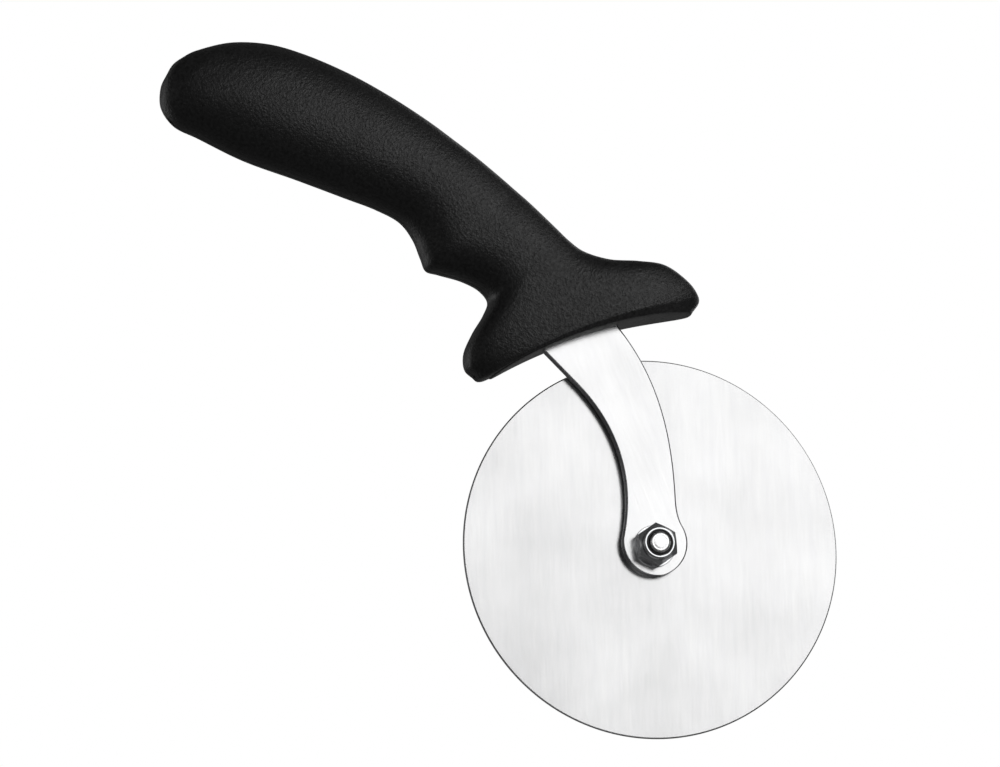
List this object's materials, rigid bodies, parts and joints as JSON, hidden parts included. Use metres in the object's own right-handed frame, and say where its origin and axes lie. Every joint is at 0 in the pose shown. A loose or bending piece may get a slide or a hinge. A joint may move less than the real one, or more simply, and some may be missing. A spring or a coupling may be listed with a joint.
{
  "type": "pastry cutter wheel",
  "caption": "Rolling cutter: a plain steel disc spins on a bolt at the end of a curved flat arm set in a moulded plastic handle with a finger notch and a wide guard.",
  "frame": {"origin": "middle of the grip on the mid-plane of the handle, where a closed hand holds the tool", "axes": "+Z from the centre of the wheel towards the butt of the handle, Y along the wheel's spin axis with the nut on the -Y side, +X towards the outer, plain edge of the grip"},
  "size_m": [0.1085, 0.0226, 0.2308],
  "materials": {
    "black_plastic": "moulded polypropylene with a fine eroded grain",
    "brushed_steel": "fine straight brushed grain",
    "plated_steel": "bright zinc or nickel plate",
    "sleeve_bronze": "sintered bronze",
    "dark_nylon": "smooth nylon"
  },
  "bodies": {
    "handle_and_arm": {"handle": "black_plastic", "arm": "brushed_steel", "pivot_bolt": "plated_steel", "lock_nut": "plated_steel", "nylon_insert": "dark_nylon", "nut_washer": "plated_steel", "spacer_washer": "plated_steel", "rear_washer": "plated_steel", "bushing": "sleeve_bronze"},
    "wheel": {"blade": "brushed_steel"}
  },
  "joints": [
    {"name": "wheel_spin", "type": "hinge", "parent": "handle_and_arm", "child": "wheel", "pos_m": [-0.016, 0.00275, -0.13], "axis": [0, -1, 0], "continuous": true}
  ]
}
